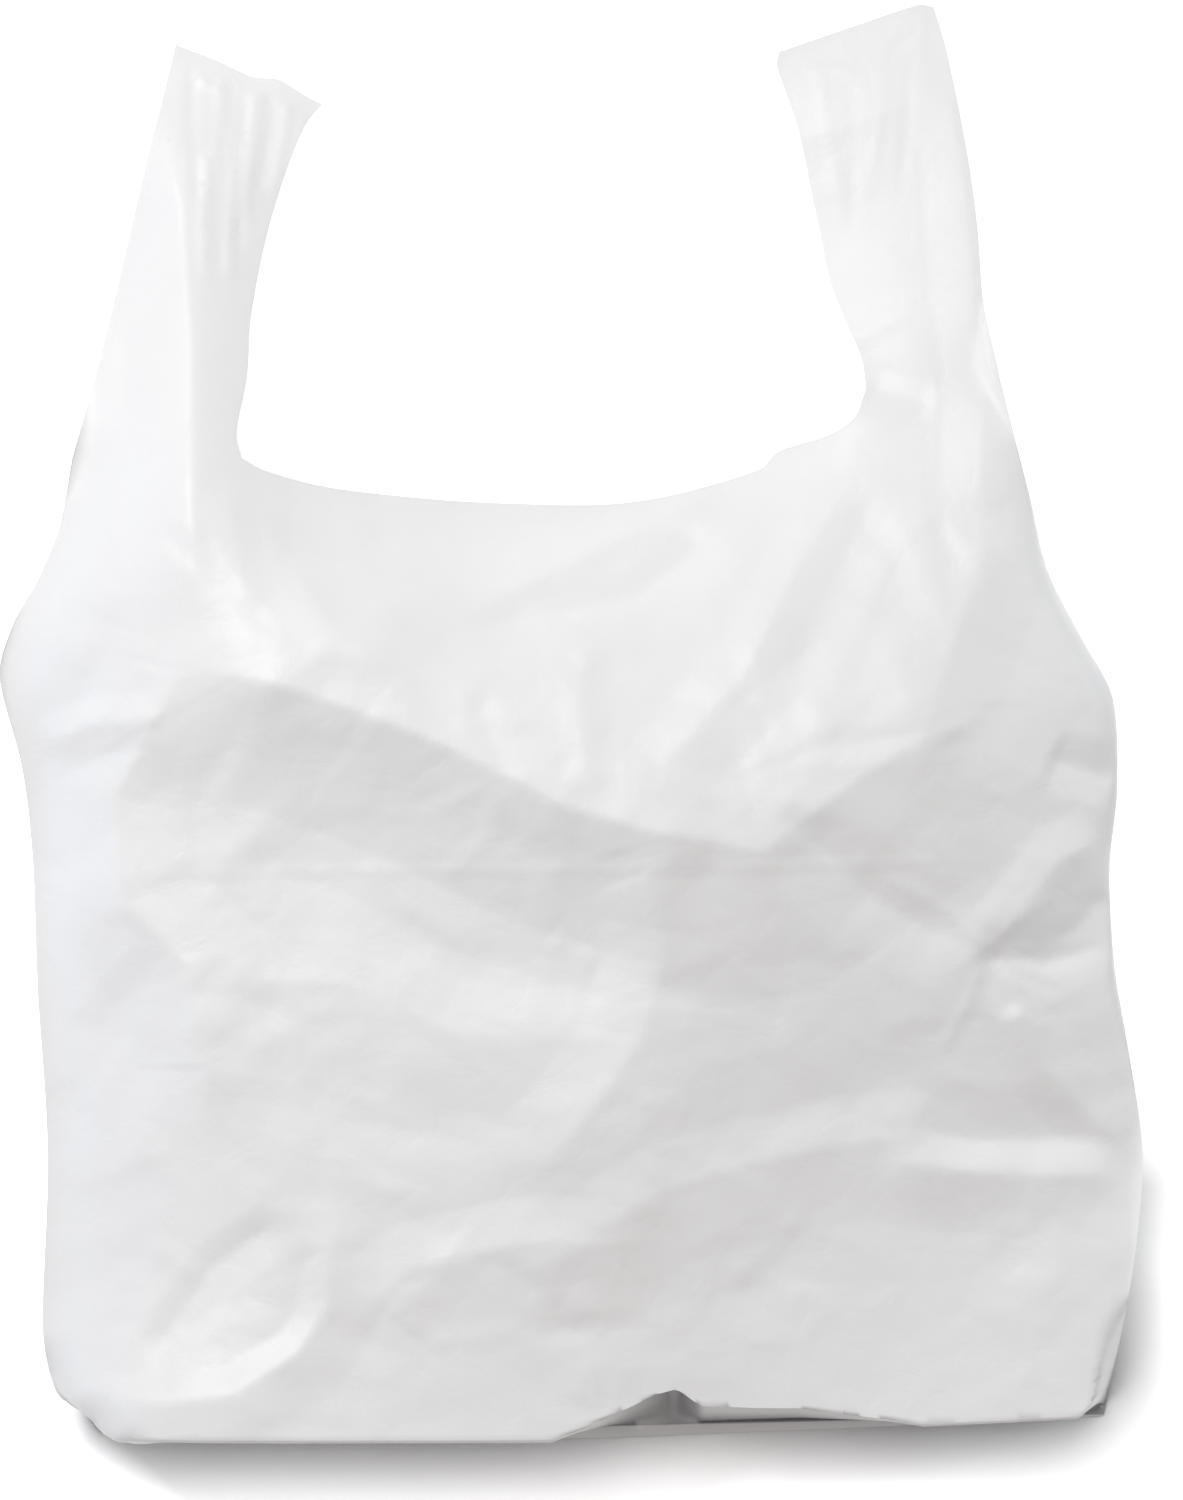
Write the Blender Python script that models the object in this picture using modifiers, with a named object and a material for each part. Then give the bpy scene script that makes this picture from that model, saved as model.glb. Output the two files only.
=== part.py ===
"""A plain white film carrier bag with two handles, lying on its back as it comes to rest.

X runs across the bag, Y from the bottom seal to the handles and Z up from the floor.
The drawn tables below are in millimetres of a bag 400 wide when flat and 100 high when puffed,
with Y measured from the bottom seal. FLAT_WIDTH and PUFF_HEIGHT scale them.
"""

import math

import bpy
import numpy as np
from mathutils import Vector
from mathutils.geometry import delaunay_2d_cdt

# Driving dimensions, in metres.
FLAT_WIDTH = 0.400
PUFF_HEIGHT = 0.100
WALL = 0.0005
SEAL_BAND = 0.005
HANDLE_SEAL_BAND = 0.008
SEAL_GAP = 0.0004
LEFT_ROUND = 0.022
RIGHT_ROUND = 0.010
SIDE_HEIGHT = 0.036
BOTTOM_ROUND = 0.016
BOTTOM_HANG = 0.0132
BOTTOM_HOLLOW = 0.010
BACK_ROUND = 0.034
BACK_SET_IN = 0.005
NOTCH_RISE = 0.040
CREASE_RADIUS = 0.0015
FRONT_STEP = 0.0098
BACK_STEP = 0.0175

# The plan outline, clockwise from the left end of the bottom seal.
LEFT_SIDE = [
    (-180, 0), (-188, 2), (-195, 10), (-206, 20), (-211, 46), (-209, 115), (-213, 180),
    (-215, 232), (-219, 268), (-228, 305), (-223, 325), (-212, 345), (-204, 365), (-199, 392),
]
LEFT_STRAP_OUTSIDE = [(-199, 392), (-188, 432), (-175, 490), (-165, 533), (-159, 559)]
LEFT_HANDLE_TOP = [(-159, 559), (-141, 552), (-128, 546), (-118, 545), (-106, 538), (-100, 535)]
LEFT_STRAP_INSIDE = [
    (-100, 535), (-107, 526), (-116, 502), (-123, 476), (-128, 446), (-129, 425), (-133, 402),
    (-131, 392),
]
RIM = [
    (-131, 392), (-122, 387), (-99, 381), (-76, 378), (-39, 375), (11, 374), (41, 378),
    (75, 388), (82, 395), (101, 401), (112, 408), (117, 420),
]
RIGHT_STRAP_INSIDE = [(117, 420), (115, 433), (104, 460), (98, 488), (90, 526), (82, 550), (83, 556)]
RIGHT_HANDLE_TOP = [(83, 556), (112, 566), (139, 575), (145, 574)]
RIGHT_STRAP_OUTSIDE = [(145, 574), (150, 557), (158, 515), (162, 484), (164, 455), (170, 424)]
RIGHT_SIDE = [
    (170, 424), (176, 400), (182, 377), (189, 348), (203, 320), (215, 297), (217, 262),
    (214, 228), (216, 190), (221, 160), (227, 118), (225, 83), (220, 50), (216, 24), (213, 9),
]
BOTTOM_SEAL = [(213, 9), (130, 5), (57, 2), (0, 0), (-180, 0)]

# How high the side seams lie, as a share of SIDE_HEIGHT, by (y, left, right).
SIDE_SHARES = [
    (0, 1, 1.4), (60, 1, 1.35), (130, 1, 1.25), (230, 1, 1.35), (300, 1.15, 1.5), (400, 1.25, 1.6),
]
# The share of BOTTOM_HANG by which the puffed front hangs out over the bottom seal, at places
# along it, and how that share grows and fades with the distance from the seal.
OVERHANG = [
    (-220, 1), (-8, 1), (5, 0.75), (26, 0.3), (41, 0), (52, 0.45), (90, 0.55), (126, 0.85),
    (140, 1), (220, 1),
]
HANG_GROWTH = [
    (5, 0), (6, 0.25), (7, 0.42), (9.8, 0.63), (13, 0.87), (16.2, 1), (18.6, 0.97), (21, 0.83),
    (30, 0.53), (45, 0.23), (65, 0),
]

# Heights of the puffed front, as (x, y, z).
HEIGHTS = [
    (-200, 5, 50), (-170, 5, 67), (-140, 5, 76), (-100, 5, 76), (-50, 5, 74), (0, 5, 71),
    (70, 5, 59), (140, 5, 54), (205, 5, 53),
    (-204, 60, 41), (-175, 60, 56), (-140, 60, 68), (-100, 60, 73), (-50, 60, 74), (0, 60, 74),
    (75, 60, 62), (150, 60, 53), (210, 60, 50),
    (-204, 120, 40), (-175, 120, 58), (-140, 120, 71), (-75, 120, 78), (0, 120, 81),
    (60, 120, 73), (110, 120, 63), (150, 120, 58), (210, 120, 46),
    (-204, 180, 42), (-175, 180, 59), (-140, 180, 70), (-75, 180, 78), (0, 180, 84),
    (60, 180, 84), (110, 180, 79), (150, 180, 72), (205, 180, 57),
    (-206, 225, 43), (-178, 225, 60), (-145, 225, 72), (-75, 225, 80), (0, 225, 86),
    (75, 222, 89), (115, 222, 85), (145, 222, 82), (163, 197, 75), (160, 235, 79),
    (205, 225, 57),
    (-208, 265, 44), (-178, 265, 61), (-145, 262, 74), (-100, 258, 78), (-50, 250, 82),
    (75, 252, 94), (130, 262, 86), (167, 262, 78), (205, 262, 60),
    (-216, 300, 46), (-180, 300, 66), (-150, 305, 77), (-89, 304, 84), (0, 275, 92),
    (140, 285, 86), (200, 295, 66),
    (-208, 330, 50), (-178, 330, 68), (-150, 330, 80), (-75, 330, 83), (0, 325, 80),
    (75, 325, 81), (130, 340, 74), (162, 345, 71), (190, 335, 66),
    (-193, 385, 46), (-172, 385, 59), (-150, 385, 66), (-120, 385, 57), (-76, 376, 46),
    (-39, 374, 36), (11, 373, 33), (41, 377, 34), (75, 387, 41), (112, 410, 49),
    (140, 400, 55), (172, 400, 57),
    (-188, 432, 37), (-151, 432, 47), (-128, 432, 42),
    (-182, 460, 27), (-154, 460, 36), (-125, 460, 31),
    (-175, 490, 18), (-156, 490, 24), (-119, 490, 20),
    (-169, 520, 12), (-158, 520, 15), (-108, 520, 12),
    (-160, 545, 6), (-130, 542, 9), (-104, 535, 7),
    (172, 432, 43), (160, 432, 44), (135, 432, 43), (116, 432, 36),
    (167, 460, 34), (156, 460, 35), (128, 460, 31), (104, 460, 24),
    (163, 490, 24), (152, 490, 25), (124, 490, 21), (97, 490, 16),
    (158, 515, 17), (150, 515, 18), (121, 515, 16), (92, 515, 11),
    (148, 560, 8), (115, 556, 10), (84, 552, 7),
]

# Folds of the front, each as (height, reach to the left, reach to the right, line). The sides
# are those of someone walking along the line. A height below nought is a crease.
FOLDS = [
    # The folds between the front and the two gussets.
    (7.5, 40, 26, [(-159, 546), (-161, 513), (-156, 493), (-154, 468), (-151, 436), (-151, 376),
                 (-150, 321)]),
    (7, 30, 30, [(-150, 334), (-156, 305), (-168, 282), (-181, 258), (-177, 215), (-152, 190),
                 (-143, 150), (-150, 115)]),
    (2.5, 22, 16, [(144, 560), (156, 515), (160, 460), (164, 420), (163, 388), (163, 364),
                 (162, 345)]),
    (4, 26, 30, [(163, 372), (162, 345), (156, 335), (142, 292), (138, 276)]),
    # The shoulder across the front.
    (14, 52, 50, [(-166, 312), (-140, 311), (-112, 301), (-82, 291), (-48, 277), (-26, 266),
                  (2, 252), (33, 244), (60, 239)]),
    (10, 52, 58, [(5, 251), (33, 244), (75, 236), (115, 266), (138, 280), (158, 288), (172, 292)]),
    (1.2, 10, 8, [(7, 322), (3, 296), (7, 256)]),
    # The leaf-shaped facet above the shoulder.
    (2, 16, 8, [(-50, 326), (-5, 348), (27, 364), (67, 380)]),
    (-3, 10, 18, [(-48, 324), (-13, 330), (27, 338), (67, 372)]),
    # Folds that run down from the foot of each handle.
    (3, 20, 14, [(119, 400), (91, 352), (67, 304), (27, 260)]),
    (-2, 16, 16, [(124, 384), (100, 335), (80, 290)]),
    (1.8, 14, 14, [(-134, 384), (-97, 328), (-65, 300)]),
    (1.2, 10, 10, [(-138, 386), (-132, 352), (-126, 326)]),
    (-3, 8, 10, [(118, 420), (143, 414)]),
    # The left side.
    (2.5, 10, 12, [(-213, 276), (-193, 286), (-160, 290)]),
    # The middle of the front: a light band, a dark facet and a long slope to the right.
    (-2, 34, 20, [(-138, 236), (-112, 226), (-87, 218), (-59, 201), (-9, 185), (30, 174)]),
    (2.6, 20, 34, [(-146, 178), (-129, 184), (-93, 184), (-70, 178), (-54, 166), (-26, 162),
                 (27, 160)]),
    (-1.8, 26, 22, [(-140, 142), (-96, 131), (-24, 118)]),
    (4.5, 48, 24, [(20, 246), (33, 228), (36, 192), (27, 160), (8, 133), (-22, 98)]),
    # The wave and the dark facet low on the front.
    (3, 18, 30, [(-5, 72), (11, 86), (35, 101), (67, 111), (104, 119), (133, 123), (166, 118)]),
    (4, 12, 24, [(120, 114), (150, 109), (185, 107), (222, 107)]),
    (-2.5, 22, 10, [(132, 126), (160, 121), (190, 122), (222, 122)]),
    (3.5, 18, 34, [(-88, 40), (-78, 58), (-62, 71), (-19, 81), (38, 80)]),
    # The pocket at the lower left.
    (3.5, 20, 10, [(-120, 90), (-97, 78), (-96, 56), (-108, 37), (-134, 21), (-162, 17), (-204, 20)]),
    (-2.2, 9, 13, [(-168, 26), (-160, 45), (-142, 72), (-110, 94)]),
    # The pinch at the right, where folds meet from all sides.
    (-3.5, 20, 22, [(82, 254), (118, 219), (140, 205), (161, 198)]),
    (4, 14, 22, [(162, 195), (171, 205), (180, 215), (195, 234), (212, 242)]),
    (-2.5, 16, 22, [(158, 200), (172, 193), (186, 190), (200, 193), (218, 203)]),
    (-3, 18, 20, [(160, 198), (182, 194), (200, 205), (218, 224)]),
    (1, 5, 14, [(162, 199), (176, 189), (190, 186), (216, 195)]),
    (4, 16, 14, [(160, 202), (174, 178), (187, 150), (203, 134), (226, 112)]),
    (-2.5, 7, 7, [(163, 198), (168, 184), (177, 170)]),
    (-3, 12, 12, [(188, 274), (205, 268), (217, 264)]),
]

PLAN = FLAT_WIDTH / 400
RISE = PUFF_HEIGHT / 100


def clear_scene():
    for found in list(bpy.data.objects):
        bpy.data.objects.remove(found, do_unlink=True)


def ease(value):
    """0 below 0, 1 above 1, and smooth between."""
    t = np.clip(value, 0, 1)
    return t * t * (3 - 2 * t)


def curve_through(points, step):
    """The drawn points joined by a smooth curve, as points about one step apart, in metres."""
    drawn = np.array(points, float) * PLAN
    ends = np.vstack([2 * drawn[0] - drawn[1], drawn, 2 * drawn[-1] - drawn[-2]])
    fine = [drawn[0]]
    for before, start, end, after in zip(ends, ends[1:], ends[2:], ends[3:]):
        out = (end - before) * 0.5 * min(1, np.linalg.norm(end - start) / np.linalg.norm(end - before) * 2)
        into = (after - start) * 0.5 * min(1, np.linalg.norm(end - start) / np.linalg.norm(after - start) * 2)
        for t in np.linspace(0, 1, 13)[1:]:
            fine.append(
                (2 * t**3 - 3 * t**2 + 1) * start + (t**3 - 2 * t**2 + t) * out
                + (3 * t**2 - 2 * t**3) * end + (t**3 - t**2) * into
            )
    fine = np.array(fine)
    length = np.concatenate([[0], np.cumsum(np.linalg.norm(np.diff(fine, axis=0), axis=1))])
    count = max(2, round(length[-1] / step) + 1)
    at = np.linspace(0, length[-1], count)
    return np.column_stack([np.interp(at, length, fine[:, k]) for k in (0, 1)])


def near_line(points, line):
    """For each point: distance to the line, share along it, the side, and the step to its right."""
    start, end = line[:-1], line[1:]
    run = end - start
    size = np.linalg.norm(run, axis=1)
    away = points[:, None, :] - start[None]
    share = np.clip((away * run).sum(2) / size**2, 0, 1)
    foot = start + share[..., None] * run
    distance = np.linalg.norm(points[:, None, :] - foot, axis=2)
    pick = distance.argmin(1)
    rows = np.arange(len(points))
    before = np.concatenate([[0], np.cumsum(size)])
    along = (before[pick] + share[rows, pick] * size[pick]) / before[-1]
    cross = run[pick, 0] * away[rows, pick, 1] - run[pick, 1] * away[rows, pick, 0]
    right = np.column_stack([run[pick, 1], -run[pick, 0]]) / size[pick][:, None]
    return distance[rows, pick], along, cross, right


def plate_through(heights):
    """A smooth plate through the drawn heights, as a function of plan points."""
    drawn = np.array(heights, float)
    places = drawn[:, :2] / 100

    def kernel(a, b):
        square = ((a[:, None] - b[None]) ** 2).sum(2)
        return 0.5 * square * np.log(square + 1e-12)

    count = len(drawn)
    matrix = np.zeros((count + 3, count + 3))
    matrix[:count, :count] = kernel(places, places) + np.eye(count) * 0.02
    matrix[:count, count:] = np.column_stack([np.ones(count), places])
    matrix[count:, :count] = matrix[:count, count:].T
    weights = np.linalg.solve(matrix, np.concatenate([drawn[:, 2], np.zeros(3)]))

    def height(points):
        at = points / PLAN / 100
        flat = np.column_stack([np.ones(len(at)), at]) @ weights[count:]
        return (kernel(at, places) @ weights[:count] + flat) * RISE

    return height


def fold_height(points):
    total = np.zeros(len(points))
    for height, left, right, line in FOLDS:
        distance, along, side, _ = near_line(points, np.array(line, float) * PLAN)
        reach = np.where(side > 0, left, right) * PLAN
        fade = ease(along / 0.22) * ease((1 - along) / 0.22)
        blunt = np.sqrt(distance**2 + CREASE_RADIUS**2) - CREASE_RADIUS
        total += height * RISE * fade * np.clip(1 - blunt / reach, 0, 1) ** 1.15
    return total


SMOOTH_FRONT = plate_through(HEIGHTS)
SIDES = {name: curve_through(line, 0.004) for name, line in (
    ("left", LEFT_SIDE), ("left out", LEFT_STRAP_OUTSIDE), ("left top", LEFT_HANDLE_TOP),
    ("left in", LEFT_STRAP_INSIDE), ("rim", RIM), ("right in", RIGHT_STRAP_INSIDE),
    ("right top", RIGHT_HANDLE_TOP), ("right out", RIGHT_STRAP_OUTSIDE),
    ("right", RIGHT_SIDE), ("seal", BOTTOM_SEAL),
)}


def nearest_side(points, names):
    """Distance to the nearest of the named edges, and the unit step inwards from it."""
    best = np.full(len(points), 9.0)
    inward = np.zeros((len(points), 2))
    for name in names:
        distance, _, _, right = near_line(points, SIDES[name])
        closer = distance < best
        best = np.where(closer, distance, best)
        inward[closer] = right[closer]
    return best, inward


def place(points, front):
    """Plan points of one sheet, lifted to where the film lies."""
    to_side, off_side = nearest_side(points, ("left", "left out", "right", "right out"))
    to_seal, _ = nearest_side(points, ("seal",))
    to_top, _ = nearest_side(points, ("left top", "right top"))
    to_open, off_open = nearest_side(points, ("left out", "left in", "rim", "right in", "right out"))
    to_joined, _ = nearest_side(points, ("left", "right"))
    to_joined = np.minimum(to_joined, to_top)
    left_notch = LEFT_SIDE[-1][1] * PLAN
    right_notch = RIGHT_SIDE[0][1] * PLAN
    notch = np.where(points[:, 0] < 0, left_notch, right_notch)
    parted = ease((points[:, 1] - notch) / NOTCH_RISE)

    reach = np.where(points[:, 0] < 0, LEFT_ROUND, RIGHT_ROUND) if front else BACK_ROUND
    turn = np.clip(to_side / reach + parted, 0, 1) * math.pi / 2
    slide = (reach * (1 - np.cos(np.clip(to_side / reach, 0, 1) * math.pi / 2)) - to_side)
    slide = np.where(to_side < reach, slide, 0) * (1 - parted) * ease(to_seal / 0.03) * 0.8
    plan = points + off_side * slide[:, None]

    y, left_share, right_share = np.array(SIDE_SHARES, float).T
    shares = [np.interp(points[:, 1] / PLAN, y, side) for side in (left_share, right_share)]
    side_share = np.where(points[:, 0] < 0, *shares)
    joined = SIDE_HEIGHT * side_share * ease((to_seal - SEAL_BAND * 0.5) / 0.05)
    back = WALL + joined * (1 - np.sin(turn))
    if not front:
        hidden = BACK_SET_IN * ease(to_joined / 0.03) * np.clip(1 - to_open / 0.03, 0, 1)
        plan = plan + off_open * hidden[:, None]
        return np.column_stack([plan, back])

    hang = np.interp(points[:, 0] / PLAN, *np.array(OVERHANG, float).T)
    lift = np.clip((to_seal - SEAL_BAND) / (BOTTOM_ROUND * (1 - 0.3 * hang)), 0, 1)
    growth = np.interp(to_seal * 1000, *np.array(HANG_GROWTH, float).T)
    hollow = np.sin(math.pi * np.clip(lift, 0, 1)) * (1 - hang) * BOTTOM_HOLLOW
    plan[:, 1] -= (hang * growth * BOTTOM_HANG - hollow) * ease((to_side - 0.002) / 0.013)
    puffed = SMOOTH_FRONT(plan) + fold_height(plan)
    top = ease((to_top - HANDLE_SEAL_BAND) / 0.03)
    share = np.sin(turn) * np.sin(lift * math.pi / 2) ** (1.6 - 1.35 * hang)
    base = WALL + joined
    height = base + (puffed - base) * share
    height = WALL + (height - WALL) * top
    least = SEAL_GAP * np.clip(np.minimum(to_joined, to_seal) / 0.002, 0, 1)
    return np.column_stack([plan, np.maximum(height, back + least)])


def outline(step):
    """The closed outline as points, and for each whether the front and the back join there."""
    points, joined = [], []
    for line, is_joined in (
        (LEFT_SIDE, True), (LEFT_STRAP_OUTSIDE, False), (LEFT_HANDLE_TOP, True),
        (LEFT_STRAP_INSIDE, False), (RIM, False), (RIGHT_STRAP_INSIDE, False),
        (RIGHT_HANDLE_TOP, True), (RIGHT_STRAP_OUTSIDE, False), (RIGHT_SIDE, True),
        (BOTTOM_SEAL, True),
    ):
        curve = curve_through(line, step)
        points.extend(curve[:-1])
        joined.extend([is_joined] * (len(curve) - 1))
        if not joined[-len(curve) + 1]:
            joined[-len(curve) + 1] = len(joined) >= len(curve) and joined[-len(curve)]
    return np.array(points), np.array(joined)


def inside_of(points, ring):
    """Whether each point is inside the closed ring."""
    x, y = points[:, 0][:, None], points[:, 1][:, None]
    ax, ay = ring[:, 0], ring[:, 1]
    bx, by = np.roll(ax, -1), np.roll(ay, -1)
    crosses = (ay > y) != (by > y)
    rise = np.where(by == ay, 1, by - ay)
    return (crosses & (x < (bx - ax) * (y - ay) / rise + ax)).sum(1) % 2 == 1


def beside(names, distance):
    """A line that runs beside the named edges, this far inside them."""
    line = np.vstack([SIDES[name] for name in names])
    line = line[np.concatenate([[True], np.linalg.norm(np.diff(line, axis=0), axis=1) > 1e-6])]
    run = np.gradient(line, axis=0)
    inward = np.column_stack([run[:, 1], -run[:, 0]]) / np.linalg.norm(run, axis=1)[:, None]
    return line + inward * distance


def sheet_faces(ring, step, lines):
    """Plan points and triangles that fill the ring, with edges along the given lines."""
    edges = [(k, (k + 1) % len(ring)) for k in range(len(ring))]
    points = list(ring)
    kept = np.array(ring)
    for line in lines:
        length = np.linalg.norm(np.diff(line, axis=0), axis=1).sum()
        count = max(2, round(length / step) + 1)
        before = np.concatenate([[0], np.cumsum(np.linalg.norm(np.diff(line, axis=0), axis=1))])
        at = np.linspace(0, before[-1], count)
        dense = np.column_stack([np.interp(at, before, line[:, k]) for k in (0, 1)])
        gap = np.linalg.norm(dense[:, None] - kept[None], axis=2).min(1)
        dense = dense[inside_of(dense, np.array(ring)) & (gap > min(0.45 * step, 0.0045))]
        for k, point in enumerate(dense):
            points.append(point)
            if k and np.linalg.norm(point - dense[k - 1]) < 1.6 * step:
                edges.append((len(points) - 2, len(points) - 1))
        kept = np.vstack([kept, dense])
    low, high = np.array(ring).min(0), np.array(ring).max(0)
    rows = []
    for j, y in enumerate(np.arange(low[1], high[1], step * 0.866)):
        x = np.arange(low[0], high[0], step) + (j % 2) * step / 2
        rows.append(np.column_stack([x, np.full(len(x), y)]))
    grid = np.vstack(rows)
    grid = grid[inside_of(grid, np.array(ring))]
    gap = np.concatenate([
        np.linalg.norm(part[:, None] - kept[None], axis=2).min(1) for part in np.array_split(grid, 40)
    ])
    points.extend(grid[gap > 0.62 * step])
    found = delaunay_2d_cdt([Vector(p) for p in points], edges, [list(range(len(ring)))], 1, 1e-7)
    return np.array([tuple(v) for v in found[0]]), found[2], found[3]


def bag_surface(front_step, back_step):
    """The film as one open surface: points, and triangles facing out."""
    ring, joined = outline(front_step)
    lines = [np.array(line, float) * PLAN for _, _, _, line in FOLDS]
    left, right = ("left", "left out"), ("right out", "right")
    front_rows = [beside(left, LEFT_ROUND * share) for share in (0.33, 0.66, 1)]
    front_rows += [beside(right, RIGHT_ROUND * share) for share in (0.45, 1)]
    back_rows = [beside(pair, BACK_ROUND * share) for pair in (left, right) for share in (0.33, 0.66, 1)]
    seal_rows = [beside(("seal",), SEAL_BAND + BOTTOM_ROUND * share) for share in (0, 0.15, 0.5, 1)]
    vertices, faces = [], []
    seen = {}
    for front, step, creases in (
        (True, front_step, seal_rows + front_rows + lines), (False, back_step, back_rows),
    ):
        flat, triangles, came_from = sheet_faces(ring, step, creases)
        ring_index = {}
        for k, sources in enumerate(came_from):
            for source in sources:
                if source < len(ring):
                    ring_index[k] = source
        placed = place(flat, front)
        numbers = []
        for k, point in enumerate(placed):
            source = ring_index.get(k)
            if source is not None and joined[source]:
                if source not in seen:
                    seen[source] = len(vertices)
                    vertices.append(point)
                numbers.append(seen[source])
            else:
                numbers.append(len(vertices))
                vertices.append(point)
        for a, b, c in triangles:
            ab, ac = flat[b] - flat[a], flat[c] - flat[a]
            upward = ab[0] * ac[1] - ab[1] * ac[0] > 0
            a, b, c = (numbers[k] for k in (a, b, c))
            faces.append((a, b, c) if upward == front else (a, c, b))
    return np.array(vertices), faces


def film_material():
    material = bpy.data.materials.new("white_film")
    material.use_nodes = True
    surface = material.node_tree.nodes["Principled BSDF"]
    surface.inputs["Base Color"].default_value = (0.86, 0.86, 0.86, 1)
    surface.inputs["Roughness"].default_value = 0.42
    return material


def build():
    clear_scene()
    group = bpy.data.collections.new("tshirt_bag")
    bpy.context.scene.collection.children.link(group)
    points, faces = bag_surface(FRONT_STEP, BACK_STEP)
    middle = (points.min(0) + points.max(0)) / 2
    points = points - np.array([middle[0], middle[1], 0])
    mesh = bpy.data.meshes.new("bag")
    mesh.from_pydata(points.tolist(), [], faces)
    mesh.validate()
    mesh.materials.append(film_material())
    bag = bpy.data.objects.new("bag", mesh)
    group.objects.link(bag)
    wall = bag.modifiers.new("wall", "SOLIDIFY")
    wall.thickness = WALL
    wall.offset = 1
    return bag


build()
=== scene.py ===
"""A plain white film carrier bag, dressed for a picture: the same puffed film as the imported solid,
with its small creases, pleats, seals and sheen. Metres, Z up, the camera looking straight down.
"""

import math

import bpy
import numpy as np
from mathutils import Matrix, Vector
from mathutils.bvhtree import BVHTree
from mathutils.geometry import delaunay_2d_cdt


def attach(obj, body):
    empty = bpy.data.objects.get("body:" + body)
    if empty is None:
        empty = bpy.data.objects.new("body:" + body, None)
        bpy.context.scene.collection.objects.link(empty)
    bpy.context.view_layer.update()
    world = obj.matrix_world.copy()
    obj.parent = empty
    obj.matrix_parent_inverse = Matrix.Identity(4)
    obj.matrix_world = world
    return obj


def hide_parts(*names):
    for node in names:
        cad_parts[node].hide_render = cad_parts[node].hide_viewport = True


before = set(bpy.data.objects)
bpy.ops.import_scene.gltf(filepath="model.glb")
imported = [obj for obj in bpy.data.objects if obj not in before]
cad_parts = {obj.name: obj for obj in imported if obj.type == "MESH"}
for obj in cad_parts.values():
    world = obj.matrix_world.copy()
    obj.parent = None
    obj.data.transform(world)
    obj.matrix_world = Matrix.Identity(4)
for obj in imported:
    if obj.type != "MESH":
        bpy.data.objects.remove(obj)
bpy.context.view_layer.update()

# The part's own sizes, in metres. The tables are in drawn millimetres, as in the part.
WALL = 0.0004
SEAL_BAND = 0.005
HANDLE_SEAL_BAND = 0.008
SEAL_GAP = 0.0004
LEFT_ROUND = 0.022
RIGHT_ROUND = 0.010
SIDE_HEIGHT = 0.036
BOTTOM_ROUND = 0.016
BOTTOM_HANG = 0.0132
BOTTOM_HOLLOW = 0.010
BACK_ROUND = 0.034
BACK_SET_IN = 0.005
NOTCH_RISE = 0.040
CREASE_RADIUS = 0.0010
FRONT_STEP = 0.0019
BACK_STEP = 0.0090
PLAN = 0.001
RISE = 0.001

# The plan outline, clockwise from the left end of the bottom seal.
LEFT_SIDE = [
    (-180, 0), (-188, 2), (-195, 10), (-206, 20), (-211, 46), (-209, 115), (-213, 180),
    (-215, 232), (-219, 268), (-228, 305), (-223, 325), (-212, 345), (-204, 365), (-199, 392),
]
LEFT_STRAP_OUTSIDE = [(-199, 392), (-188, 432), (-175, 490), (-165, 533), (-159, 559)]
LEFT_HANDLE_TOP = [(-159, 559), (-141, 552), (-128, 546), (-118, 545), (-106, 538), (-100, 535)]
LEFT_STRAP_INSIDE = [
    (-100, 535), (-107, 526), (-116, 502), (-123, 476), (-128, 446), (-129, 425), (-133, 402),
    (-131, 392),
]
RIM = [
    (-131, 392), (-122, 387), (-99, 381), (-76, 378), (-39, 375), (11, 374), (41, 378),
    (75, 388), (82, 395), (101, 401), (112, 408), (117, 420),
]
RIGHT_STRAP_INSIDE = [(117, 420), (115, 433), (104, 460), (98, 488), (90, 526), (82, 550), (83, 556)]
RIGHT_HANDLE_TOP = [(83, 556), (112, 566), (139, 575), (145, 574)]
RIGHT_STRAP_OUTSIDE = [(145, 574), (150, 557), (158, 515), (162, 484), (164, 455), (170, 424)]
RIGHT_SIDE = [
    (170, 424), (176, 400), (182, 377), (189, 348), (203, 320), (215, 297), (217, 262),
    (214, 228), (216, 190), (221, 160), (227, 118), (225, 83), (220, 50), (216, 24), (213, 9),
]
BOTTOM_SEAL = [(213, 9), (130, 5), (57, 2), (0, 0), (-180, 0)]

# How high the side seams lie, as a share of SIDE_HEIGHT, by (y, left, right).
SIDE_SHARES = [
    (0, 1, 1.4), (60, 1, 1.35), (130, 1, 1.25), (230, 1, 1.35), (300, 1.15, 1.5), (400, 1.25, 1.6),
]
# The share of BOTTOM_HANG by which the puffed front hangs out over the bottom seal, at places
# along it, and how that share grows and fades with the distance from the seal.
OVERHANG = [
    (-220, 1), (-8, 1), (5, 0.75), (26, 0.3), (41, 0), (52, 0.45), (90, 0.55), (126, 0.85),
    (140, 1), (220, 1),
]
HANG_GROWTH = [
    (5, 0), (6, 0.25), (7, 0.42), (9.8, 0.63), (13, 0.87), (16.2, 1), (18.6, 0.97), (21, 0.83),
    (30, 0.53), (45, 0.23), (65, 0),
]

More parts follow.
